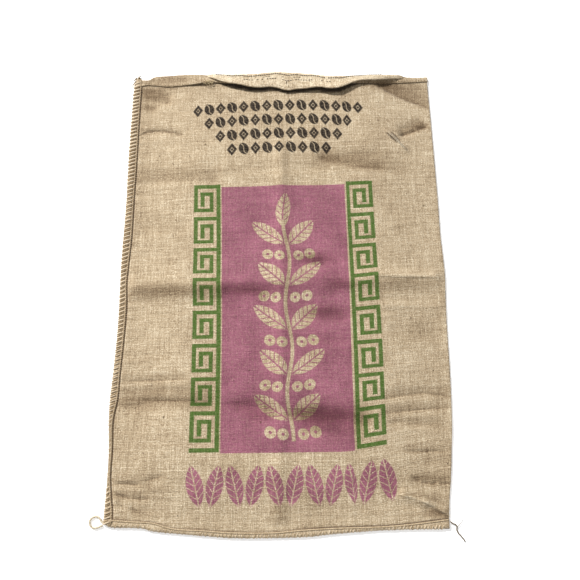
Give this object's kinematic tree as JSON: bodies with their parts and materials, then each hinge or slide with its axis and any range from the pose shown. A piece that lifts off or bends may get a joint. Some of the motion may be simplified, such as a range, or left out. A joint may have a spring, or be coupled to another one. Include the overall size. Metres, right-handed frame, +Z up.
{
  "type": "burlap bag",
  "caption": "Empty jute sack lying flat: one cloth folded down one side, sewn along the other side and the bottom, with an open hemmed mouth.",
  "frame": {"origin": "on the floor under the middle of the sack", "axes": "+Y along the sack's length towards its mouth, +X towards the folded side, +Z up from the floor through the panels"},
  "size_m": [0.7276, 1.0409, 0.0267],
  "materials": {
    "jute": "coarse plain weave, matte",
    "twine": "hairy spun jute, matte"
  },
  "bodies": {
    "root": {"sack_cloth": "jute", "corner_knot": "twine", "twine_loop": "twine", "twine_tail": "twine"}
  },
  "joints": []
}
